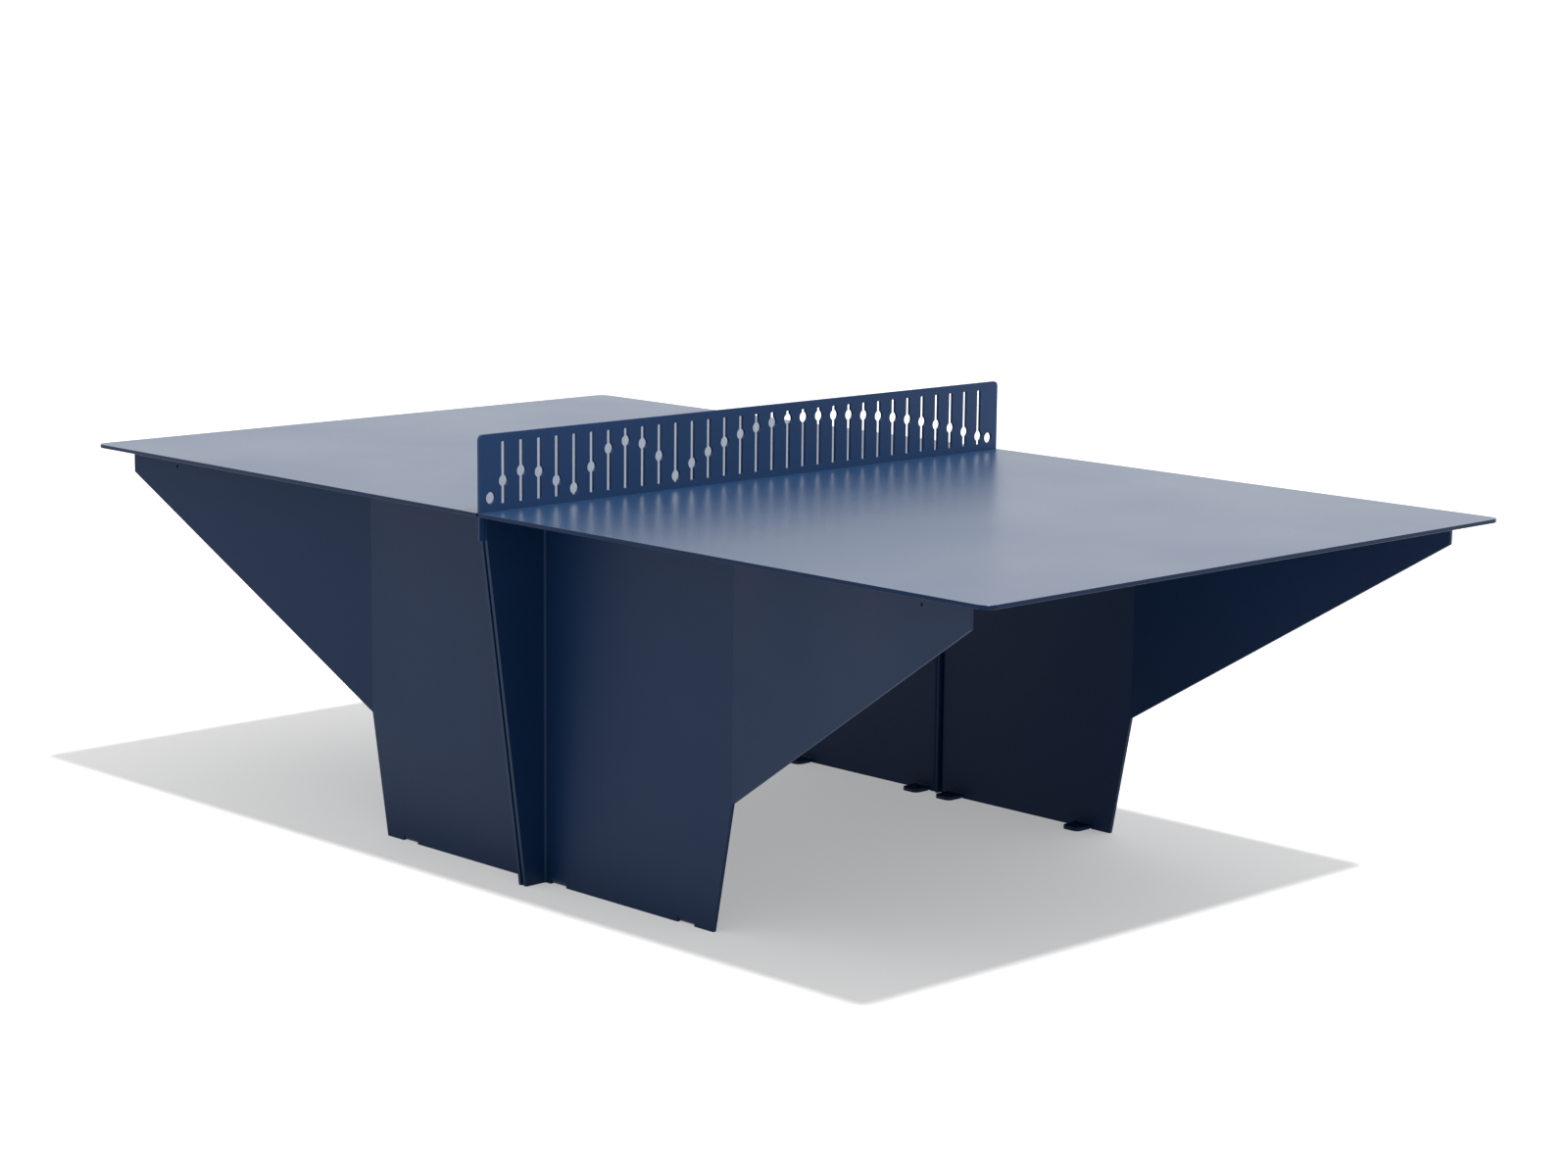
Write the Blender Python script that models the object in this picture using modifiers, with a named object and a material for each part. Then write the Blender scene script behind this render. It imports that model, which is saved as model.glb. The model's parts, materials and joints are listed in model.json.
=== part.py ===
"""Outdoor ping pong table of folded and laser-cut steel sheet, in Blender 4.5.

Metres, +Z up. The origin is on the floor under the middle of the table. X runs along the table's
length and across the net, Y along the net. Four folded side panels carry two tabletop halves, and
the net plate stands in the joint between the halves. One panel is modelled, for the quarter at +X
and +Y, and the other three are its mirror images.
"""

import math

import bmesh
import bpy
from mathutils import Matrix, Vector

# Overall sizes
TABLE_LENGTH = 2.740
TABLE_WIDTH = 1.525
TABLE_HEIGHT = 0.782
NET_HEIGHT = 0.156

# Sheet
TOP_PLATE = 0.008
NET_PLATE = 0.006
PANEL_PLATE = 0.008
BEND_RADIUS = 0.005
BEND_STEPS = 6
FIT_GAP = 0.0003
RELIEF_WIDTH = 0.003
RELIEF_HOLE_RADIUS = 0.0035
RELIEF_DEPTH = 0.0265
TAB_SLIT_WIDTH = 0.001

# Tabletop
TOP_CORNER_RADIUS = 0.025
TOP_EDGE_CHAMFER = 0.0008

# Side panels, in plan
PANEL_INSET = 0.1655
FOLD_X = 0.5665
END_INSET_X = 0.083
END_INSET_Y = 0.0475

# Side panels, seen from the side
FOOT_INSET = 0.0504
KNEE_HEIGHT = 0.265
WING_END_DEPTH = 0.051

# Fins beside the net line
FIN_TOP_INSET = 0.0154
FIN_FOOT_REACH = 0.0522

# Net plate
NET_END_INSET = 0.003
NET_TAB_DEPTH = 0.0485
NET_TAB_WIDTH = 0.062
NET_CORNER_RADIUS = 0.011
SLOT_PITCH = 0.0465
SLOT_END_ROOM = 0.062
SLOT_WIDTH = 0.011
SLOT_CORNER_RADIUS = 0.0015
SLOT_ABOVE_TABLETOP = 0.0145
SLOT_BELOW_NET_TOP = 0.017
BALL_RADIUS = 0.012
END_HOLE_INSET = 0.029
BALL_TO_SLOT_BOTTOM = 0.0015
BALL_TO_SLOT_TOP = 0.005
# Each bounce: where it peaks, how far it reaches before and after that, as shares of the net's length,
# and its rise, as a share of the highest
BALL_BOUNCES = ((0.0737, 0.0565, 0.0764, 0.516), (0.2565, 0.0852, 0.088, 0.903), (0.5826, 0.2352, 0.3907, 1.0))

# Flange under the tabletop
FLANGE_REACH = 0.050
FLANGE_CORNER_RADIUS = 0.008
FOLD_NOTCH = 0.006
RELIEF_FROM_END = 0.137

# Floor tabs
TAB_WIDTH = 0.047
INNER_TAB_FROM_BEND = 0.0117
TAB_REACH = 0.052
TAB_CORNER_RADIUS = 0.012
OUTER_TAB_FROM_FOOT = 0.0553
ANCHOR_HOLE_RADIUS = 0.0055

# Spacer bar between the fins
SPACER_PROUD = 0.006
SPACER_RECESS = 0.015

# Studs and nuts
TOP_STUD_RADIUS = 0.005
FIN_STUD_RADIUS = 0.004
STUD_CLEARANCE = 0.0005
STUD_END = 0.003
NUT_HEIGHT_RATIO = 2.0
NUT_HEX_RATIO = 1.85
NUT_FLANGE_RATIO = 2.2
NUT_FLANGE_HEIGHT = 0.0015
TOP_STUD_FROM_FLANGE_END = 0.060
FIN_STUD_COUNT = 3
FIN_STUD_FROM_END = 0.100
FIN_STUD_FROM_BEND = 0.015

# Facets of round shapes
ROUND_SIDES = 16
STUD_SIDES = 12
BALL_SIDES = 24
BALL_STEPS = 8
TOP_CORNER_STEPS = 8
NET_CORNER_STEPS = 4
SMALL_CORNER_STEPS = 3
SLOT_CORNER_STEPS = 2

# Derived sizes
SMALL = 1e-6
BEND_OUTSIDE = BEND_RADIUS + PANEL_PLATE
HALF_LENGTH = TABLE_LENGTH / 2
HALF_WIDTH = TABLE_WIDTH / 2
NET_LENGTH = TABLE_WIDTH - 2 * NET_END_INSET
NET_END_Y = NET_LENGTH / 2
NET_TOP = TABLE_HEIGHT + NET_HEIGHT
UNDERSIDE = TABLE_HEIGHT - TOP_PLATE
SHEET_TOP = UNDERSIDE - FIT_GAP
FIN_BACK_X = NET_PLATE / 2 + FIT_GAP
FIN_FACE_X = FIN_BACK_X + PANEL_PLATE
PANEL_FACE_Y = HALF_WIDTH - PANEL_INSET
BEND_END_X = FIN_FACE_X + BEND_RADIUS
FOOT_X = FOLD_X - FOOT_INSET
WING_END_X = HALF_LENGTH - END_INSET_X
WING_ANGLE = math.atan2(HALF_WIDTH - END_INSET_Y - PANEL_FACE_Y, WING_END_X - FOLD_X)
FIN_TOP_Y = HALF_WIDTH - FIN_TOP_INSET
FIN_FOOT_Y = PANEL_FACE_Y + FIN_FOOT_REACH
NET_TAB_BOTTOM = UNDERSIDE - NET_TAB_DEPTH
RELIEF_X = WING_END_X - RELIEF_FROM_END
INNER_TAB_X = BEND_END_X + INNER_TAB_FROM_BEND
OUTER_TAB_X = FOOT_X - OUTER_TAB_FROM_FOOT - TAB_WIDTH
FIN_STUD_Y = PANEL_FACE_Y + BEND_RADIUS + FIN_STUD_FROM_BEND
SLOT_STEPS = int((NET_LENGTH - 2 * SLOT_END_ROOM) / SLOT_PITCH + SMALL)
SLOT_LOW = TABLE_HEIGHT + SLOT_ABOVE_TABLETOP
SLOT_HIGH = NET_TOP - SLOT_BELOW_NET_TOP
BALL_LOW = SLOT_LOW + BALL_RADIUS + BALL_TO_SLOT_BOTTOM
BALL_HIGH = SLOT_HIGH - BALL_RADIUS - BALL_TO_SLOT_TOP

# Placing helpers
TRIM_MARGIN = 0.020
QUARTERS = {
    "front_left": (-1, -1),
    "front_right": (1, -1),
    "back_left": (-1, 1),
    "back_right": (1, 1),
}


def clear_scene():
    for obj in list(bpy.data.objects):
        bpy.data.objects.remove(obj)


def make_collection(name):
    collection = bpy.data.collections.new(name)
    bpy.context.scene.collection.children.link(collection)
    return collection


def make_material(name, colour, roughness, metallic):
    material = bpy.data.materials.new(name)
    material.use_nodes = True
    shader = material.node_tree.nodes["Principled BSDF"]
    shader.inputs["Base Color"].default_value = (*colour, 1.0)
    shader.inputs["Roughness"].default_value = roughness
    shader.inputs["Metallic"].default_value = metallic
    return material


def add_object(name, mesh, collection, material=None):
    obj = bpy.data.objects.new(name, mesh)
    collection.objects.link(obj)
    if material:
        mesh.materials.clear()
        mesh.materials.append(material)
    return obj


def bmesh_to_mesh(name, bm):
    bmesh.ops.recalc_face_normals(bm, faces=bm.faces)
    mesh = bpy.data.meshes.new(name)
    bm.to_mesh(mesh)
    bm.free()
    return mesh


def evaluated_copy(obj, name):
    """A new mesh of the object with its modifiers, in world space, with its loose seams closed."""
    bpy.context.view_layer.update()
    graph = bpy.context.evaluated_depsgraph_get()
    mesh = bpy.data.meshes.new_from_object(obj.evaluated_get(graph), depsgraph=graph)
    mesh.name = name
    mesh.transform(obj.matrix_world)
    bm = bmesh.new()
    bm.from_mesh(mesh)
    bmesh.ops.remove_doubles(bm, verts=bm.verts, dist=SMALL)
    bmesh.ops.recalc_face_normals(bm, faces=bm.faces)
    bm.to_mesh(mesh)
    bm.free()
    return mesh


def arc(centre, radius, start, end, steps):
    """Points along a circle from one angle to another, in degrees, both ends included."""
    points = []
    for i in range(steps + 1):
        angle = math.radians(start + (end - start) * i / steps)
        points.append((centre[0] + radius * math.cos(angle), centre[1] + radius * math.sin(angle)))
    return points


def circle(centre, radius, sides):
    """Points around a whole circle, with no point repeated."""
    return arc(centre, radius, 0, 360, sides)[:-1]


def plate_mesh(name, outlines, thickness):
    """A flat plate in the XY plane, centred on z = 0. The first outline is its edge, the rest are holes."""
    curve = bpy.data.curves.new(name, "CURVE")
    curve.dimensions = "2D"
    curve.fill_mode = "BOTH"
    curve.extrude = thickness / 2
    for outline in outlines:
        spline = curve.splines.new("POLY")
        spline.points.add(len(outline) - 1)
        spline.use_cyclic_u = True
        for point, (x, y) in zip(spline.points, outline):
            point.co = (x, y, 0.0, 1.0)
    holder = bpy.data.objects.new(name, curve)
    bpy.context.scene.collection.objects.link(holder)
    mesh = evaluated_copy(holder, name)
    bpy.data.objects.remove(holder)
    bpy.data.curves.remove(curve)
    return mesh


def upright_plate(name, outlines, thickness, facing):
    """A plate whose outlines are given as (distance along, height). It faces X or Y."""
    mesh = plate_mesh(name, outlines, thickness)
    turn = Matrix.Rotation(math.radians(90), 4, "X")
    if facing == "X":
        turn = Matrix.Rotation(math.radians(90), 4, "Z") @ turn
    mesh.transform(turn)
    return mesh


def cylinder_into(bm, start, end, radius, sides=ROUND_SIDES):
    start = Vector(start)
    end = Vector(end)
    along = end - start
    placed = Matrix.Translation((start + end) / 2) @ along.to_track_quat("Z", "X").to_matrix().to_4x4()
    bmesh.ops.create_cone(
        bm, cap_ends=True, segments=sides, radius1=radius, radius2=radius, depth=along.length, matrix=placed
    )


def cut(obj, cutter, operation="DIFFERENCE"):
    modifier = obj.modifiers.new(cutter.name, "BOOLEAN")
    modifier.operation = operation
    modifier.solver = "EXACT"
    modifier.object = cutter


def add_cutter(name, mesh, cutters):
    obj = add_object(name, mesh, cutters)
    obj.hide_render = True
    obj.display_type = "WIRE"
    return obj


# ---------------------------------------------------------------- side panels


def plan_columns():
    """Upright lines of the visible face, from the fin's edge to past the wing's end.

    Each is (key, point, inward): inward is the unit direction through the sheet's thickness. The keys
    name the lines where a tab, a flange or a relief slit starts or ends.
    """
    columns = [("fin_edge", (FIN_FACE_X, FIN_TOP_Y), (-1.0, 0.0))]
    centre = (BEND_END_X, PANEL_FACE_Y + BEND_RADIUS)
    for i, point in enumerate(arc(centre, BEND_RADIUS, 180, 270, BEND_STEPS)):
        inward = Vector((point[0] - centre[0], point[1] - centre[1])).normalized()
        columns.append((f"bend_{i}", point, tuple(inward)))

    stops = {}
    for side, low in (("inner", INNER_TAB_X), ("outer", OUTER_TAB_X)):
        stops[f"{side}_slit"] = low - TAB_SLIT_WIDTH
        stops[f"{side}_tab"] = low
        stops[f"{side}_tab_end"] = low + TAB_WIDTH
        stops[f"{side}_slit_end"] = low + TAB_WIDTH + TAB_SLIT_WIDTH
    stops["flange_end"] = FOLD_X - FOLD_NOTCH
    for key, x in stops.items():
        columns.append((key, (x, PANEL_FACE_Y), (0.0, -1.0)))

    wing = Vector((math.cos(WING_ANGLE), math.sin(WING_ANGLE)))
    inward = (math.sin(WING_ANGLE), -math.cos(WING_ANGLE))
    columns.append(("fold", (FOLD_X, PANEL_FACE_Y), (math.sin(WING_ANGLE / 2), -math.cos(WING_ANGLE / 2))))
    wing_stops = {
        "wing_flange": FOLD_NOTCH,
        "wing_flange_end": (RELIEF_X - RELIEF_WIDTH / 2 - FOLD_X) / wing.x,
        "wing_slit_end": (RELIEF_X + RELIEF_WIDTH / 2 - FOLD_X) / wing.x,
        "wing_end": (WING_END_X + TRIM_MARGIN - FOLD_X) / wing.x,
    }
    for key, along in wing_stops.items():
        columns.append((key, (FOLD_X + wing.x * along, PANEL_FACE_Y + wing.y * along), inward))
    return columns


def turned_in_rows(reach, corner_radius, tangent_z, edge_z):
    """(depth, height, corner inset) of each row of a strip that bends inward from the panel's face."""
    rows = []
    lift = edge_z - tangent_z
    for i in range(1, BEND_STEPS + 1):
        angle = math.radians(90 * i / BEND_STEPS)
        rows.append((BEND_OUTSIDE * (1 - math.cos(angle)), tangent_z + lift * math.sin(angle), 0.0))
    for i in range(SMALL_CORNER_STEPS + 1):
        angle = math.radians(90 * i / SMALL_CORNER_STEPS)
        depth = reach - corner_radius + corner_radius * math.sin(angle)
        rows.append((depth, edge_z, corner_radius * (1 - math.cos(angle))))
    return rows


def add_strip(bm, columns, base_row, rows):
    """Adds the faces of a tab or a flange below or above the base row of the panel's field."""
    before = base_row
    last = len(columns) - 1
    for depth, height, inset in rows:
        row = []
        for i, (_, point, inward) in enumerate(columns):
            place = Vector(point) + Vector(inward) * depth
            along = Vector((-inward[1], inward[0]))
            if i == 0:
                place += along * inset
            if i == last:
                place -= along * inset
            row.append(bm.verts.new((place.x, place.y, height)))
        for i in range(last):
            bm.faces.new((before[i], before[i + 1], row[i + 1], row[i]))
        before = row


def panel_surface():
    """The visible face of the folded sheet, before its outline is cut."""
    columns = plan_columns()
    index = {key: i for i, (key, _, _) in enumerate(columns)}
    bm = bmesh.new()
    levels = (0.0, BEND_OUTSIDE, SHEET_TOP - BEND_OUTSIDE, SHEET_TOP)
    grid = [[bm.verts.new((*point, z)) for _, point, _ in columns] for z in levels]

    def spans(pairs):
        return {i for start, end in pairs for i in range(index[start], index[end])}

    tabs = [("inner_tab", "inner_tab_end"), ("outer_tab", "outer_tab_end")]
    flanges = [("inner_tab", "flange_end"), ("wing_flange", "wing_flange_end")]
    open_below = spans([("inner_slit", "inner_slit_end"), ("outer_slit", "outer_slit_end")])
    open_above = spans([("inner_slit", "wing_slit_end")])
    for level, skipped in ((0, open_below), (1, set()), (2, open_above)):
        for i in range(len(columns) - 1):
            if i not in skipped:
                low = grid[level]
                high = grid[level + 1]
                bm.faces.new((low[i], low[i + 1], high[i + 1], high[i]))

    tab_rows = turned_in_rows(TAB_REACH, TAB_CORNER_RADIUS, levels[1], levels[0])
    flange_rows = turned_in_rows(FLANGE_REACH, FLANGE_CORNER_RADIUS, levels[2], levels[3])
    for pairs, base, rows in ((tabs, grid[1], tab_rows), (flanges, grid[2], flange_rows)):
        for start, end in pairs:
            first = index[start]
            last = index[end] + 1
            add_strip(bm, columns[first:last], base[first:last], rows)

    bmesh.ops.delete(bm, geom=[v for v in bm.verts if not v.link_faces], context="VERTS")
    mesh = bmesh_to_mesh("panel_surface", bm)
    field = max(mesh.polygons, key=lambda face: face.area)
    if field.normal.y < 0:
        mesh.flip_normals()
    return mesh


def wing_point(x, depth):
    """A point on the wing, a distance in from its visible face, at a given x of that face."""
    y = PANEL_FACE_Y + (x - FOLD_X) * math.tan(WING_ANGLE)
    return (x + depth * math.sin(WING_ANGLE), y - depth * math.cos(WING_ANGLE))


def top_stud_places():
    """(x, y) of each stud that holds the tabletop to one panel's flanges."""
    depth = (BEND_OUTSIDE + FLANGE_REACH) / 2
    inner = [INNER_TAB_X + TOP_STUD_FROM_FLANGE_END, FOLD_X - FOLD_NOTCH - TOP_STUD_FROM_FLANGE_END]
    outer = [FOLD_X + FOLD_NOTCH + TOP_STUD_FROM_FLANGE_END, RELIEF_X - TOP_STUD_FROM_FLANGE_END]
    return [(x, PANEL_FACE_Y - depth) for x in inner] + [wing_point(x, depth) for x in outer]


def anchor_places():
    """(x, y) of the anchor hole in each floor tab of one panel."""
    depth = (BEND_OUTSIDE + TAB_REACH) / 2
    return [(low + TAB_WIDTH / 2, PANEL_FACE_Y - depth) for low in (INNER_TAB_X, OUTER_TAB_X)]


def fin_stud_places():
    """(y, z) of each stud through the fins: the last one holds the net plate's tab."""
    step = (NET_TAB_BOTTOM - 2 * FIN_STUD_FROM_END) / (FIN_STUD_COUNT - 1)
    places = [(FIN_STUD_Y, FIN_STUD_FROM_END + i * step) for i in range(FIN_STUD_COUNT)]
    places.append((NET_END_Y - NET_TAB_WIDTH / 2, (UNDERSIDE + NET_TAB_BOTTOM) / 2))
    return places


def outline_cutter(cutters):
    """Keeps what the panel has in side view: a leaning foot, the knee and the rising wing."""
    lean = (FOLD_X - FOOT_X) / KNEE_HEIGHT
    wing_bottom = UNDERSIDE - WING_END_DEPTH
    outline = [
        (-TRIM_MARGIN, -TRIM_MARGIN),
        (FOOT_X - lean * TRIM_MARGIN, -TRIM_MARGIN),
        (FOLD_X, KNEE_HEIGHT),
        (WING_END_X, wing_bottom),
        (WING_END_X, TABLE_HEIGHT),
        (-TRIM_MARGIN, TABLE_HEIGHT),
    ]
    mesh = upright_plate("panel_outline", [outline], TABLE_WIDTH, "Y")
    mesh.transform(Matrix.Translation((0.0, HALF_WIDTH, 0.0)))
    return add_cutter("panel_outline", mesh, cutters)


def fin_cutter(cutters):
    """Takes the fin's outer edge back to its slope below the net plate's tab."""
    slope = (FIN_TOP_Y - FIN_FOOT_Y) / NET_TAB_BOTTOM
    outline = [
        (FIN_FOOT_Y - slope * TRIM_MARGIN, -TRIM_MARGIN),
        (FIN_TOP_Y + TRIM_MARGIN, -TRIM_MARGIN),
        (FIN_TOP_Y + TRIM_MARGIN, NET_TAB_BOTTOM),
        (FIN_TOP_Y, NET_TAB_BOTTOM),
    ]
    mesh = upright_plate("fin_slope", [outline], 2 * (FIN_FACE_X + TRIM_MARGIN / 2), "X")
    return add_cutter("fin_slope", mesh, cutters)


def hole_cutter(cutters):
    bm = bmesh.new()
    for x, y in top_stud_places():
        low = SHEET_TOP - 2 * PANEL_PLATE
        cylinder_into(bm, (x, y, low), (x, y, TABLE_HEIGHT), TOP_STUD_RADIUS + STUD_CLEARANCE)
    for x, y in anchor_places():
        cylinder_into(bm, (x, y, -PANEL_PLATE), (x, y, 2 * PANEL_PLATE), ANCHOR_HOLE_RADIUS)
    relief_z = SHEET_TOP - RELIEF_DEPTH
    near = wing_point(RELIEF_X, -PANEL_PLATE)
    far = wing_point(RELIEF_X, 2 * PANEL_PLATE)
    cylinder_into(bm, (*near, relief_z), (*far, relief_z), RELIEF_HOLE_RADIUS)
    middle = wing_point(RELIEF_X, PANEL_PLATE / 2)
    slit = (
        Matrix.Translation((*middle, (relief_z + TABLE_HEIGHT) / 2))
        @ Matrix.Rotation(WING_ANGLE, 4, "Z")
        @ Matrix.Diagonal((RELIEF_WIDTH, 3 * PANEL_PLATE, TABLE_HEIGHT - relief_z, 1.0))
    )
    slit_bm = bmesh.new()
    bmesh.ops.create_cube(slit_bm, size=1.0, matrix=slit)
    slit_mesh = bmesh_to_mesh("relief_slit", slit_bm)
    return [
        add_cutter("panel_holes", bmesh_to_mesh("panel_holes", bm), cutters),
        add_cutter("relief_slit", slit_mesh, cutters),
    ]


def fin_hole_cutter(cutters):
    """Clearance holes through the left fins only: the studs are welded to the right ones."""
    bm = bmesh.new()
    for y, z in fin_stud_places():
        radius = FIN_STUD_RADIUS + STUD_CLEARANCE
        cylinder_into(bm, (0.0, y, z), (FIN_FACE_X + PANEL_PLATE, y, z), radius)
    return add_cutter("fin_holes", bmesh_to_mesh("fin_holes", bm), cutters)


def make_panels(parts, cutters, material):
    surface = add_object("panel_master", panel_surface(), cutters)
    surface.hide_render = True
    thicken = surface.modifiers.new("sheet", "SOLIDIFY")
    thicken.thickness = PANEL_PLATE
    thicken.offset = -1.0
    thicken.use_even_offset = True
    cut(surface, outline_cutter(cutters), "INTERSECT")
    cut(surface, fin_cutter(cutters))
    for cutter in hole_cutter(cutters):
        cut(surface, cutter)
    plain = evaluated_copy(surface, "panel_plain")
    cut(surface, fin_hole_cutter(cutters))
    drilled = evaluated_copy(surface, "panel_drilled")
    for quarter, (side_x, side_y) in QUARTERS.items():
        mesh = (drilled if side_x < 0 else plain).copy()
        mesh.name = f"panel_{quarter}"
        mesh.transform(Matrix.Diagonal((side_x, side_y, 1.0, 1.0)))
        if side_x * side_y < 0:
            mesh.flip_normals()
        add_object(mesh.name, mesh, parts, material)


# ---------------------------------------------------------------- tabletop


def make_tabletops(parts, material):
    for name, side in (("tabletop_left", -1), ("tabletop_right", 1)):
        radius = TOP_CORNER_RADIUS
        outline = [
            (FIN_BACK_X, -HALF_WIDTH),
            *arc((HALF_LENGTH - radius, radius - HALF_WIDTH), radius, -90, 0, TOP_CORNER_STEPS),
            *arc((HALF_LENGTH - radius, HALF_WIDTH - radius), radius, 0, 90, TOP_CORNER_STEPS),
            (FIN_BACK_X, HALF_WIDTH),
        ]
        mesh = plate_mesh(name, [outline], TOP_PLATE)
        mesh.transform(Matrix.Translation((0.0, 0.0, TABLE_HEIGHT - TOP_PLATE / 2)))
        if side < 0:
            mesh.transform(Matrix.Rotation(math.pi, 4, "Z"))
        obj = add_object(name, mesh, parts, material)
        edge = obj.modifiers.new("eased_edge", "BEVEL")
        edge.width = TOP_EDGE_CHAMFER
        edge.segments = 1
        edge.limit_method = "ANGLE"
        edge.angle_limit = math.radians(60)


# ---------------------------------------------------------------- net plate


def ball_height(along):
    """Height of the bouncing ball's centre, at a distance along the net from its middle."""
    share = along / NET_LENGTH + 0.5
    highest = 0.0
    for peak, before, after, rise in BALL_BOUNCES:
        reach = before if share < peak else after
        highest = max(highest, rise * (1.0 - ((share - peak) / reach) ** 2))
    return BALL_LOW + highest * (BALL_HIGH - BALL_LOW)


def slot_outline(middle, ball_z):
    """A slot with a round hole strung on it, as one outline."""
    half = SLOT_WIDTH / 2
    corner = SLOT_CORNER_RADIUS
    low = SLOT_LOW
    high = SLOT_HIGH
    opening = math.degrees(math.asin(half / BALL_RADIUS))
    neck = BALL_RADIUS * math.cos(math.radians(opening))
    centre = (middle, ball_z)
    right = arc(centre, BALL_RADIUS, -90 + opening, 90 - opening, BALL_STEPS)
    left = arc(centre, BALL_RADIUS, 90 + opening, 270 - opening, BALL_STEPS)
    top = [
        *arc((middle + half - corner, high - corner), corner, 0, 90, SLOT_CORNER_STEPS),
        *arc((middle - half + corner, high - corner), corner, 90, 180, SLOT_CORNER_STEPS),
    ]
    bottom = [
        *arc((middle - half + corner, low + corner), corner, 180, 270, SLOT_CORNER_STEPS),
        *arc((middle + half - corner, low + corner), corner, 270, 360, SLOT_CORNER_STEPS),
    ]
    if ball_z + neck > high - corner:
        top = []
        right = arc(centre, BALL_RADIUS, -90 + opening, 90, BALL_STEPS + 1)
        left = arc(centre, BALL_RADIUS, 90, 270 - opening, BALL_STEPS + 1)[1:]
    if ball_z - neck < low + corner:
        bottom = []
        right = arc(centre, BALL_RADIUS, -90, 90 - opening, BALL_STEPS + 1)
        left = arc(centre, BALL_RADIUS, 90 + opening, 270, BALL_STEPS + 1)[:-1]
    return right + top + left + bottom


def net_outline():
    end = NET_END_Y
    radius = NET_CORNER_RADIUS
    shoulder = end - NET_TAB_WIDTH
    return [
        (-end, NET_TAB_BOTTOM),
        (-shoulder, NET_TAB_BOTTOM),
        (-shoulder, UNDERSIDE),
        (shoulder, UNDERSIDE),
        (shoulder, NET_TAB_BOTTOM),
        (end, NET_TAB_BOTTOM),
        *arc((end - radius, NET_TOP - radius), radius, 0, 90, NET_CORNER_STEPS),
        *arc((radius - end, NET_TOP - radius), radius, 90, 180, NET_CORNER_STEPS),
    ]


def make_net_plate(parts, material):
    outlines = [net_outline()]
    for step in range(SLOT_STEPS + 1):
        along = (step - SLOT_STEPS / 2) * SLOT_PITCH
        outlines.append(slot_outline(along, ball_height(along)))
    for side in (-1, 1):
        lone = (side * (NET_END_Y - END_HOLE_INSET), BALL_LOW)
        outlines.append(circle(lone, BALL_RADIUS, BALL_SIDES))
        along, height = fin_stud_places()[-1]
        outlines.append(circle((side * along, height), FIN_STUD_RADIUS + STUD_CLEARANCE, ROUND_SIDES))
    mesh = upright_plate("net_plate", outlines, NET_PLATE, "X")
    add_object("net_plate", mesh, parts, material)


# ---------------------------------------------------------------- spacer bars, studs and nuts


def make_spacers(parts, material):
    inner = PANEL_FACE_Y - PANEL_PLATE - SPACER_PROUD
    foot = FIN_FOOT_Y - SPACER_RECESS
    head = FIN_TOP_Y - SPACER_RECESS
    high = NET_TAB_BOTTOM - FIT_GAP
    for name, side in (("spacer_front", -1), ("spacer_back", 1)):
        outlines = [[(side * inner, 0.0), (side * foot, 0.0), (side * head, high), (side * inner, high)]]
        for along, height in fin_stud_places()[:-1]:
            outlines.append(circle((side * along, height), FIN_STUD_RADIUS + STUD_CLEARANCE, ROUND_SIDES))
        mesh = upright_plate(name, outlines, NET_PLATE, "X")
        add_object(name, mesh, parts, material)


def nut_mesh(name, stud_radius):
    """A flanged nut on its seat at z = 0, its bore a fit gap larger than the stud."""
    hexagon = bmesh.new()
    height = NUT_HEIGHT_RATIO * stud_radius
    cylinder_into(hexagon, (0, 0, NUT_FLANGE_HEIGHT / 2), (0, 0, height), NUT_HEX_RATIO * stud_radius, 6)
    flange = bmesh.new()
    rim = NUT_FLANGE_RATIO * stud_radius
    cylinder_into(flange, (0, 0, 0), (0, 0, NUT_FLANGE_HEIGHT), rim, STUD_SIDES)
    bore = bmesh.new()
    cylinder_into(bore, (0, 0, -height), (0, 0, 2 * height), stud_radius + FIT_GAP, STUD_SIDES)
    holders = []
    for part_name, bm in (("hexagon", hexagon), ("flange", flange), ("bore", bore)):
        mesh = bmesh_to_mesh(f"{name}_{part_name}", bm)
        holder = bpy.data.objects.new(mesh.name, mesh)
        bpy.context.scene.collection.objects.link(holder)
        holders.append(holder)
    cut(holders[0], holders[1], "UNION")
    cut(holders[0], holders[2])
    mesh = evaluated_copy(holders[0], name)
    for holder in holders:
        bpy.data.objects.remove(holder)
    return mesh


def stud_mesh(name, radius, length):
    """A plain stud that hangs from z = 0 down."""
    bm = bmesh.new()
    cylinder_into(bm, (0, 0, -length), (0, 0, 0), radius, STUD_SIDES)
    return bmesh_to_mesh(name, bm)


def place(name, mesh, matrix, parts, material):
    obj = add_object(name, mesh, parts)
    if not mesh.materials:
        mesh.materials.append(material)
    obj.matrix_world = matrix
    return obj


def make_top_fasteners(parts, material):
    height = NUT_HEIGHT_RATIO * TOP_STUD_RADIUS
    nut_seat = SHEET_TOP - PANEL_PLATE - FIT_GAP
    stud = stud_mesh("top_stud", TOP_STUD_RADIUS, SHEET_TOP - nut_seat + height + STUD_END)
    nut = nut_mesh("top_nut", TOP_STUD_RADIUS)
    down = Matrix.Rotation(math.pi, 4, "X")
    for quarter, (side_x, side_y) in QUARTERS.items():
        for i, (x, y) in enumerate(top_stud_places(), 1):
            spot = Matrix.Translation((side_x * x, side_y * y, SHEET_TOP))
            place(f"top_stud_{quarter}_{i}", stud, spot, parts, material)
            spot = Matrix.Translation((side_x * x, side_y * y, nut_seat))
            place(f"top_nut_{quarter}_{i}", nut, spot @ down, parts, material)


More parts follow.
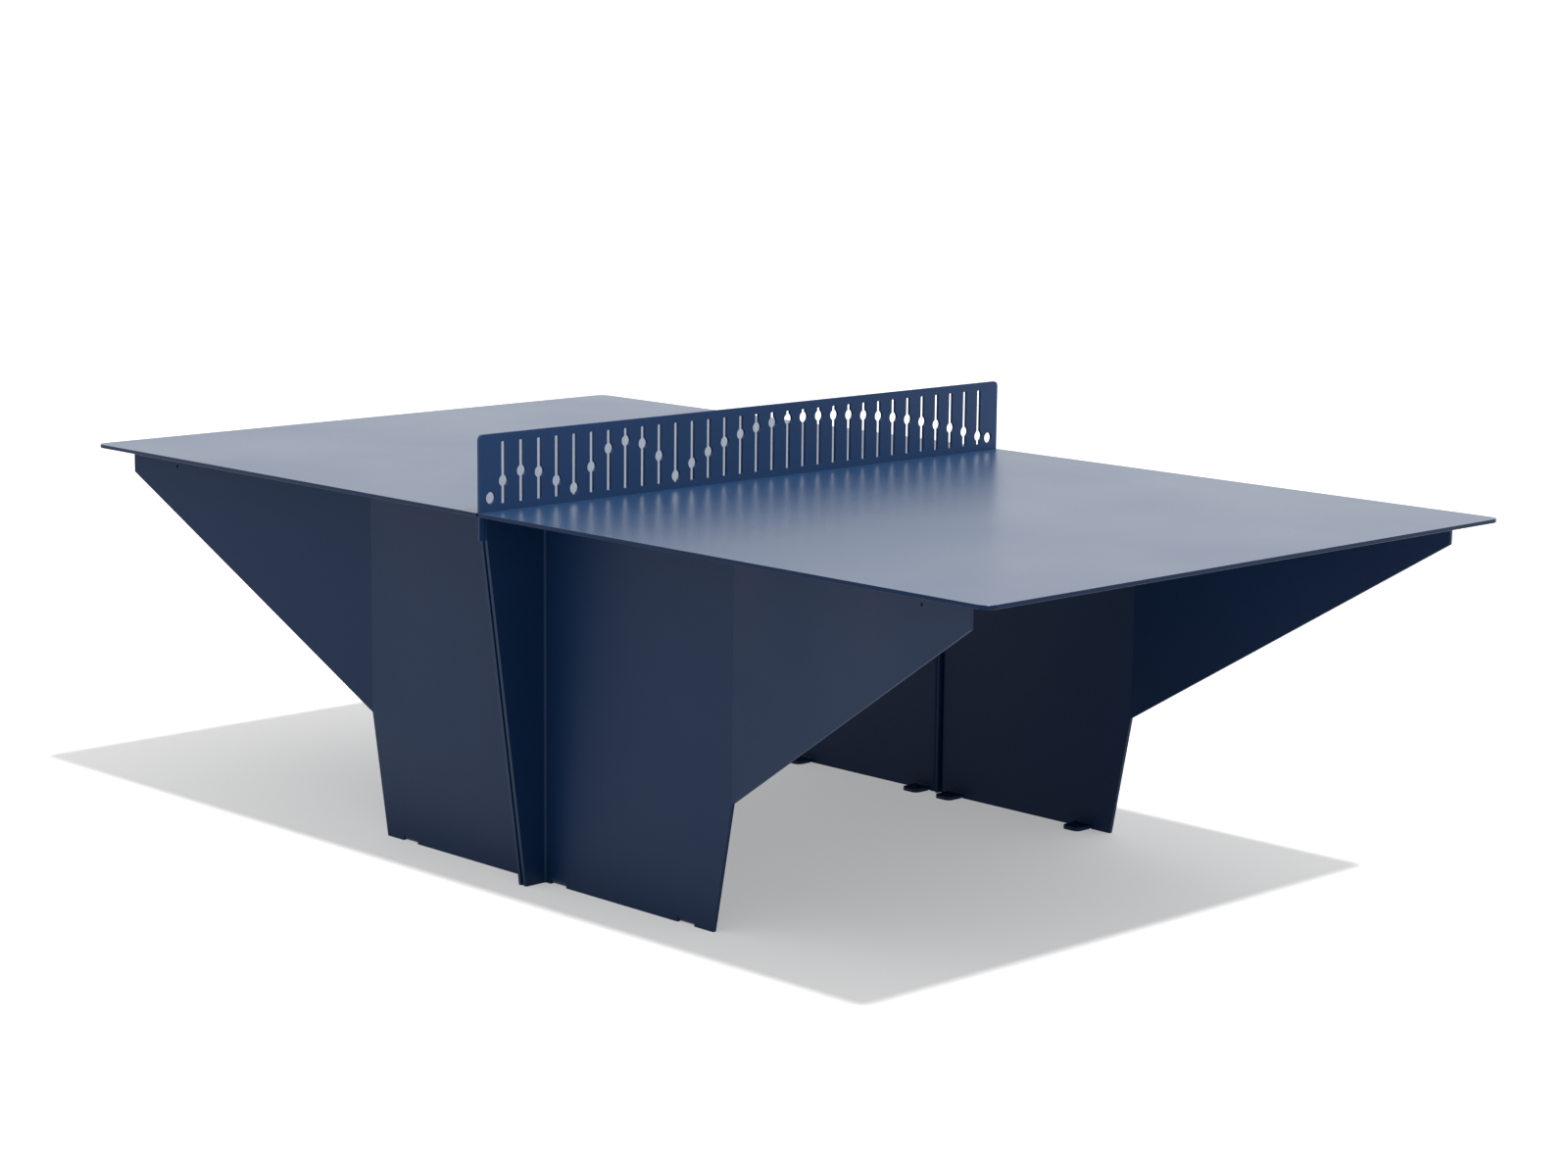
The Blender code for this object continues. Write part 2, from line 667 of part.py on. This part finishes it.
def make_fin_fasteners(parts, material):
    height = NUT_HEIGHT_RATIO * FIN_STUD_RADIUS
    weld_x = FIN_BACK_X - FIT_GAP
    nut_seat = FIN_FACE_X + FIT_GAP
    stud = stud_mesh("fin_stud", FIN_STUD_RADIUS, weld_x + nut_seat + height + STUD_END)
    nut = nut_mesh("fin_nut", FIN_STUD_RADIUS)
    for side, side_y in (("front", -1), ("back", 1)):
        for i, (y, z) in enumerate(fin_stud_places(), 1):
            spot = Matrix.Translation((weld_x, side_y * y, z)) @ Matrix.Rotation(math.pi / 2, 4, "Y")
            place(f"fin_stud_{side}_{i}", stud, spot, parts, material)
            spot = Matrix.Translation((-nut_seat, side_y * y, z)) @ Matrix.Rotation(-math.pi / 2, 4, "Y")
            place(f"fin_nut_{side}_{i}", nut, spot, parts, material)


def main():
    clear_scene()
    parts = make_collection("ping_pong_table")
    cutters = make_collection("cutters")
    cutters.hide_render = True
    top_paint = make_material("top_paint", (0.010, 0.026, 0.075), 0.30, 0.0)
    navy_paint = make_material("navy_paint", (0.010, 0.026, 0.075), 0.45, 0.0)
    zinc = make_material("zinc_plate", (0.55, 0.56, 0.58), 0.40, 1.0)
    make_tabletops(parts, top_paint)
    make_net_plate(parts, navy_paint)
    make_panels(parts, cutters, navy_paint)
    make_spacers(parts, navy_paint)
    make_top_fasteners(parts, zinc)
    make_fin_fasteners(parts, zinc)


main()
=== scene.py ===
import json
import math

import bmesh
import bpy
from mathutils import Matrix, Vector


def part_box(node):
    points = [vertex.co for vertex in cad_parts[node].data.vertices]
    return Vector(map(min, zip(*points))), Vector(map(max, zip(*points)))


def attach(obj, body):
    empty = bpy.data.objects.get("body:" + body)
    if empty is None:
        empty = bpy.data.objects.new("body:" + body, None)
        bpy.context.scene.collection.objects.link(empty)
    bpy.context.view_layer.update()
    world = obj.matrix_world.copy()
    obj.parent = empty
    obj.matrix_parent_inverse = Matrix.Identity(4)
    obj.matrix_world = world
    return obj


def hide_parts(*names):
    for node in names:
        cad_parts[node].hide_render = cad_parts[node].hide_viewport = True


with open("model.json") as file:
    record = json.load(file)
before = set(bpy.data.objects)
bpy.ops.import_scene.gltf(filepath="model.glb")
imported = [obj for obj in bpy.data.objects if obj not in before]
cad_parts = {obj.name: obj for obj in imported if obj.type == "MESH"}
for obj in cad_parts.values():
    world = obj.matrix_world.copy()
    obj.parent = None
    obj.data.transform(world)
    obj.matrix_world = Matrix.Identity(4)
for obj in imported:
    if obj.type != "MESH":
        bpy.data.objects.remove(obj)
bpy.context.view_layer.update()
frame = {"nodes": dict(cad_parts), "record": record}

# Paint, as linear colours that the coat varies between. All parts carry one navy paint: the tabletop's
# and net's tones are lighter than the panels' as painted light
PANEL_NAVY = ((0.0018, 0.0130, 0.0460), (0.0030, 0.0170, 0.0540))
TOP_NAVY_PAINTED_LIGHT = ((0.0080, 0.0290, 0.0760), (0.0110, 0.0360, 0.0900))
NET_NAVY_PAINTED_LIGHT = ((0.0068, 0.0245, 0.0730), (0.0092, 0.0310, 0.0860))
# Painted shade: the tabletop's upright edges are drawn in this dark tint, as dark metal, so that they
# look darker than its faces
EDGE_PAINTED_SHADE = (0.010, 0.020, 0.049)

# Roughness low and high, specular level, grain per metre and height of the grain in metres
TOP_FINISH = (0.29, 0.33, 0.47, 700.0, 0.00006)
PANEL_FINISH = (0.40, 0.50, 0.15, 500.0, 0.00005)
CLOUD_SCALE = 2.3
SPECK_SCALE = 900.0
WAVE_TO_GRAIN = 6
WAVE_SHARE = 1.5
SPECK_GLOSS = 0.03

ZINC_TONES = ((0.50, 0.51, 0.53), (0.62, 0.62, 0.60))
ZINC_ROUGHNESS = (0.28, 0.48)
ZINC_MOTTLE_SCALE = 220.0
ZINC_FINE_SCALE = 2400.0
ZINC_GRAIN_HEIGHT = 0.00005

scene = bpy.context.scene
scene.view_settings.view_transform = "Standard"
scene.view_settings.look = "None"


# ---------------------------------------------------------------- camera

CAMERA_PLACE = (5.166, -4.940, 1.797)
CAMERA_HEADING = -0.7989
CAMERA_TILT = -0.1734
CAMERA_ROLL = -0.0107
LENS_MM = 77.46
SENSOR_MM = 36.0


def make_camera():
    data = bpy.data.cameras.new("camera")
    data.lens = LENS_MM
    data.sensor_width = SENSOR_MM
    data.clip_end = 200.0
    camera = bpy.data.objects.new("camera", data)
    scene.collection.objects.link(camera)
    level = math.cos(CAMERA_TILT)
    ahead = Vector(
        (math.sin(CAMERA_HEADING) * level, math.cos(CAMERA_HEADING) * level, math.sin(CAMERA_TILT))
    )
    right = ahead.cross(Vector((0.0, 0.0, 1.0))).normalized()
    down = ahead.cross(right)
    rolled_right = math.cos(CAMERA_ROLL) * right + math.sin(CAMERA_ROLL) * down
    rolled_down = math.cos(CAMERA_ROLL) * down - math.sin(CAMERA_ROLL) * right
    axes = Matrix((rolled_right, -rolled_down, -ahead)).transposed()
    camera.matrix_world = Matrix.Translation(CAMERA_PLACE) @ axes.to_4x4()
    scene.camera = camera


# ---------------------------------------------------------------- materials


class Nodes:
    """A new material's node tree, with short calls to add and join nodes."""

    def __init__(self, name):
        self.material = bpy.data.materials.new(name)
        self.material.use_nodes = True
        self.tree = self.material.node_tree
        self.shader = self.tree.nodes["Principled BSDF"]

    def add(self, kind, **settings):
        node = self.tree.nodes.new(kind)
        for key, value in settings.items():
            if key in node.inputs:
                node.inputs[key].default_value = value
            else:
                setattr(node, key, value)
        return node

    def join(self, source, target):
        self.tree.links.new(source, target)

    def noise(self, place, scale, detail, roughness=0.5):
        node = self.add("ShaderNodeTexNoise", Scale=scale, Detail=detail, Roughness=roughness)
        self.join(place, node.inputs["Vector"])
        return node.outputs["Fac"]

    def ramp(self, value, low, high, out_low, out_high):
        node = self.add("ShaderNodeMapRange")
        limits = {"From Min": low, "From Max": high, "To Min": out_low, "To Max": out_high}
        for key, number in limits.items():
            node.inputs[key].default_value = number
        self.join(value, node.inputs["Value"])
        return node.outputs["Result"]

    def blend(self, factor, first, second):
        """A colour between two, each a triple of numbers or a socket."""
        node = self.add("ShaderNodeMix", data_type="RGBA")
        for key, colour in (("A", first), ("B", second)):
            if isinstance(colour, tuple):
                node.inputs[key].default_value = (*colour, 1.0)
            else:
                self.join(colour, node.inputs[key])
        self.join(factor, node.inputs["Factor"])
        return node.outputs["Result"]

    def bump(self, height, strength, distance):
        node = self.add("ShaderNodeBump", Strength=strength, Distance=distance)
        self.join(height, node.inputs["Height"])
        self.join(node.outputs["Normal"], self.shader.inputs["Normal"])


def paint_edge_shade(nodes, tone):
    """Paints shade on the upright edges of a sheet that lies flat, drawn as dark metal, and leaves its
    faces painted.
    """
    split = nodes.add("ShaderNodeSeparateXYZ")
    nodes.join(nodes.add("ShaderNodeTexCoord").outputs["Normal"], split.inputs["Vector"])
    lying = nodes.add("ShaderNodeMath", operation="ABSOLUTE")
    nodes.join(split.outputs["Z"], lying.inputs[0])
    # edge is 1 on upright faces: there the colour and metallic carry painted shade
    edge = nodes.ramp(lying.outputs[0], 0.3, 0.9, 1.0, 0.0)
    nodes.join(nodes.blend(edge, tone, EDGE_PAINTED_SHADE), nodes.shader.inputs["Base Color"])
    nodes.join(edge, nodes.shader.inputs["Metallic"])


def powder_coat(name, colours, finish, painted_edge_shade=False):
    """Semi-matt powder coat: a fine pebbled skin, slightly uneven in gloss and depth of colour."""
    rough_low, rough_high, level, grain, grain_height = finish
    nodes = Nodes(name)
    place = nodes.add("ShaderNodeTexCoord").outputs["Object"]
    cloud = nodes.noise(place, CLOUD_SCALE, 3.0)
    speck = nodes.noise(place, SPECK_SCALE, 2.0)
    pebble = nodes.noise(place, grain, 2.0, 0.4)
    wave = nodes.noise(place, grain / WAVE_TO_GRAIN, 1.0)

    depth = nodes.add("ShaderNodeMath", operation="MULTIPLY_ADD")
    nodes.join(speck, depth.inputs[0])
    depth.inputs[1].default_value = 0.5
    nodes.join(nodes.ramp(cloud, 0.3, 0.7, 0.0, 0.5), depth.inputs[2])
    tone = nodes.blend(depth.outputs[0], *colours)
    nodes.join(tone, nodes.shader.inputs["Base Color"])

    gloss = nodes.add("ShaderNodeMath", operation="ADD")
    nodes.join(nodes.ramp(cloud, 0.3, 0.7, rough_low, rough_high), gloss.inputs[0])
    nodes.join(nodes.ramp(speck, 0.3, 0.7, -SPECK_GLOSS, SPECK_GLOSS), gloss.inputs[1])
    nodes.join(gloss.outputs[0], nodes.shader.inputs["Roughness"])

    height = nodes.add("ShaderNodeMath", operation="MULTIPLY_ADD")
    nodes.join(wave, height.inputs[0])
    height.inputs[1].default_value = WAVE_SHARE
    nodes.join(pebble, height.inputs[2])
    nodes.bump(height.outputs[0], 1.0, grain_height)
    nodes.shader.inputs["Specular IOR Level"].default_value = level
    if painted_edge_shade:
        paint_edge_shade(nodes, tone)
    return nodes.material


def zinc_plate(name):
    """Bright zinc on turned steel, a little mottled."""
    nodes = Nodes(name)
    place = nodes.add("ShaderNodeTexCoord").outputs["Object"]
    mottle = nodes.noise(place, ZINC_MOTTLE_SCALE, 3.0)
    fine = nodes.noise(place, ZINC_FINE_SCALE, 2.0)
    nodes.join(nodes.blend(mottle, *ZINC_TONES), nodes.shader.inputs["Base Color"])
    nodes.join(nodes.ramp(mottle, 0.3, 0.7, *ZINC_ROUGHNESS), nodes.shader.inputs["Roughness"])
    nodes.bump(fine, 0.4, ZINC_GRAIN_HEIGHT)
    nodes.shader.inputs["Metallic"].default_value = 1.0
    return nodes.material


def paint(node, material):
    obj = frame["nodes"][node]
    obj.data.materials.clear()
    obj.data.materials.append(material)


# ---------------------------------------------------------------- fasteners

# Threads and nuts: counts, lengths in metres, and ratios to the stud's radius or the nut's height
THREAD_SIDES = 24
THREAD_ROWS = 6
THREAD_PITCH_RATIO = 0.30
THREAD_DEPTH_RATIO = 0.11
LEAD_IN = 0.0012
NUT_SIDES = 48
HEX_FLAT_RATIO = 1.6
SERRATIONS = 24
SERRATION_DEPTH = 0.0002
CREST_SHARE = 0.25
FLANGE_SHARE = 0.15
BORE_BEVEL = 1.12
SMOOTH_BELOW = math.radians(28)


def ring_surface(name, rings, closed_loop):
    """A mesh through rings of equally many points: a tube with end caps, or a loop joined end to end."""
    bm = bmesh.new()
    rows = [[bm.verts.new(point) for point in ring] for ring in rings]
    count = len(rows[0])
    pairs = list(zip(rows, rows[1:]))
    if closed_loop:
        pairs.append((rows[-1], rows[0]))
    for low, high in pairs:
        for i in range(count):
            j = (i + 1) % count
            bm.faces.new((low[i], low[j], high[j], high[i]))
    if not closed_loop:
        bm.faces.new(rows[0])
        bm.faces.new(rows[-1])
    bmesh.ops.recalc_face_normals(bm, faces=bm.faces)
    mesh = bpy.data.meshes.new(name)
    bm.to_mesh(mesh)
    bm.free()
    return mesh


def thread_radius(radius, pitch, along, turn):
    """Radius of a thread at a distance along it and a share of a turn: flat crest, sharp root."""
    phase = (along / pitch - turn) % 1.0
    tooth = abs(2.0 * phase - 1.0)
    groove = max(0.0, (tooth - CREST_SHARE) / (1.0 - CREST_SHARE))
    return radius * (1.0 - THREAD_DEPTH_RATIO * groove)


def stud_mesh(name, radius, length):
    """A threaded stud from z = 0, where it is welded, up to its bevelled tip."""
    pitch = THREAD_PITCH_RATIO * radius
    steps = math.ceil(length / pitch * THREAD_ROWS)
    rings = []
    for row in range(steps + 1):
        along = length * row / steps
        bevel = max(0.0, (along - length + LEAD_IN) / LEAD_IN)
        tip = radius * (1.0 - 2.0 * THREAD_DEPTH_RATIO * bevel)
        ring = []
        for i in range(THREAD_SIDES):
            turn = i / THREAD_SIDES
            reach = min(thread_radius(radius, pitch, along, turn), tip)
            angle = math.tau * turn
            ring.append((reach * math.cos(angle), reach * math.sin(angle), along))
        rings.append(ring)
    return ring_surface(name, rings, False)


def nut_mesh(name, bore, rim, height):
    """A serrated flange nut with bevelled corners, from its seat at z = 0 up."""
    flat = HEX_FLAT_RATIO * bore
    corner = flat / math.cos(math.pi / 6)
    flange = FLANGE_SHARE * height
    # Each ring's height, radius and shape, up the outside and back down the bore
    rows = [
        (0.0, bore * BORE_BEVEL, "round"),
        (0.0, rim * 0.66, "round"),
        (0.0, rim * 0.95, "serrated"),
        (flange * 0.3, rim, "round"),
        (flange * 0.8, rim * 0.985, "round"),
        (flange * 1.2, rim * 0.94, "round"),
        (flange * 2.0, corner * 1.02, "hex"),
        (flange * 2.2, corner, "hex"),
        (height * 0.88, corner, "hex"),
        (height * 0.95, (corner + flat) / 2, "hex"),
        (height, flat * 0.97, "round"),
        (height, bore * BORE_BEVEL, "round"),
        (height * 0.94, bore, "round"),
        (height * 0.06, bore, "round"),
    ]
    rings = []
    for level, reach, shape in rows:
        ring = []
        for i in range(NUT_SIDES):
            angle = math.tau * i / NUT_SIDES
            radius = reach
            z = level
            if shape == "hex":
                across = (angle + math.pi / 6) % (math.pi / 3) - math.pi / 6
                radius = min(reach, flat / math.cos(across))
            if shape == "serrated" and (i * SERRATIONS // NUT_SIDES) % 2:
                z = level + SERRATION_DEPTH
            ring.append((radius * math.cos(angle), radius * math.sin(angle), z))
        rings.append(ring)
    return ring_surface(name, rings, True)


def add_piece(name, mesh, node, material, axis):
    """Puts a fastener in its CAD node's place: seat at the node's high end, pointing down the axis."""
    low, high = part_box(node)
    seat = (low + high) / 2
    seat[axis] = high[axis]
    pointing = Vector((0.0, 0.0, 0.0))
    pointing[axis] = -1.0
    piece = bpy.data.objects.new(name, mesh)
    scene.collection.objects.link(piece)
    turned = pointing.to_track_quat("Z", "X").to_matrix().to_4x4()
    piece.matrix_world = Matrix.Translation(seat) @ turned
    if not mesh.materials:
        mesh.materials.append(material)
        for face in mesh.polygons:
            face.use_smooth = True
        mesh.set_sharp_from_angle(angle=SMOOTH_BELOW)
    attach(piece, "root")
    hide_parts(node)


def add_fasteners(material):
    for family, axis in (("top", 2), ("fin", 0)):
        studs = sorted(node for node in frame["nodes"] if node.startswith(f"{family}_stud_"))
        side = (axis + 1) % 3
        low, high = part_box(studs[0])
        radius = (high[side] - low[side]) / 2
        stud = stud_mesh(f"{family}_stud", radius, high[axis] - low[axis])
        low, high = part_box(studs[0].replace("_stud_", "_nut_"))
        rim = (high[side] - low[side]) / 2
        nut = nut_mesh(f"{family}_nut", radius, rim, high[axis] - low[axis])
        for node in studs:
            place = node.split("_stud_")[1]
            add_piece(f"{family}_threaded_stud_{place}", stud, node, material, axis)
            add_piece(f"{family}_flange_nut_{place}", nut, f"{family}_nut_{place}", material, axis)


# ---------------------------------------------------------------- studio

SUN_OFFSET = (0.31, -0.027, 0.78)
SUN_STRENGTH = 4.5
SUN_ANGLE = math.radians(3.0)
FLOOR_SIZE = 60.0
FLOOR_GREY = 0.48
FLOOR_GLOW = 0.338
SKY_FRONT = 0.75
SKY_BACK = 1.25


def make_floor():
    """A pale matt floor that glows a little, so that it meets the background without an edge."""
    bm = bmesh.new()
    bmesh.ops.create_grid(bm, x_segments=1, y_segments=1, size=FLOOR_SIZE)
    mesh = bpy.data.meshes.new("floor")
    bm.to_mesh(mesh)
    bm.free()
    floor = bpy.data.objects.new("floor", mesh)
    scene.collection.objects.link(floor)
    nodes = Nodes("floor")
    nodes.shader.inputs["Base Color"].default_value = (FLOOR_GREY, FLOOR_GREY, FLOOR_GREY, 1.0)
    nodes.shader.inputs["Roughness"].default_value = 0.9
    nodes.shader.inputs["Specular IOR Level"].default_value = 0.0
    nodes.shader.inputs["Emission Color"].default_value = (1.0, 1.0, 1.0, 1.0)
    nodes.shader.inputs["Emission Strength"].default_value = FLOOR_GLOW
    mesh.materials.append(nodes.material)


def make_lights():
    """One soft sun, and an even sky that is a little brighter behind the table than in front."""
    sun = bpy.data.lights.new("sun", "SUN")
    sun.energy = SUN_STRENGTH
    sun.angle = SUN_ANGLE
    holder = bpy.data.objects.new("sun", sun)
    holder.rotation_euler = Vector(SUN_OFFSET).to_track_quat("Z", "Y").to_euler()
    scene.collection.objects.link(holder)
    world = bpy.data.worlds.new("studio")
    world.use_nodes = True
    tree = world.node_tree
    background = tree.nodes["Background"]
    background.inputs["Color"].default_value = (1.0, 1.0, 1.0, 1.0)
    place = tree.nodes.new("ShaderNodeTexCoord")
    split = tree.nodes.new("ShaderNodeSeparateXYZ")
    tree.links.new(place.outputs["Generated"], split.inputs["Vector"])
    fade = tree.nodes.new("ShaderNodeMapRange")
    limits = {"From Min": -1.0, "From Max": 1.0, "To Min": SKY_FRONT, "To Max": SKY_BACK}
    for key, number in limits.items():
        fade.inputs[key].default_value = number
    tree.links.new(split.outputs["Y"], fade.inputs["Value"])
    tree.links.new(fade.outputs["Result"], background.inputs["Strength"])
    scene.world = world


def main():
    make_camera()
    make_floor()
    make_lights()
    zinc = zinc_plate("zinc")
    by_slot = {
        # The tabletop's coat has painted shade on its upright edges
        "top_paint": powder_coat("top_coat", TOP_NAVY_PAINTED_LIGHT, TOP_FINISH, painted_edge_shade=True),
        "navy_paint": powder_coat("panel_coat", PANEL_NAVY, PANEL_FINISH),
        "zinc_plate": zinc,
    }
    for row in frame["record"]["subparts"]:
        paint(row["node"], by_slot[row["material_slot"]])
    # The net's coat is the panels' navy made lighter: painted light
    paint("net_plate", powder_coat("net_coat", NET_NAVY_PAINTED_LIGHT, PANEL_FINISH))
    add_fasteners(zinc)


main()
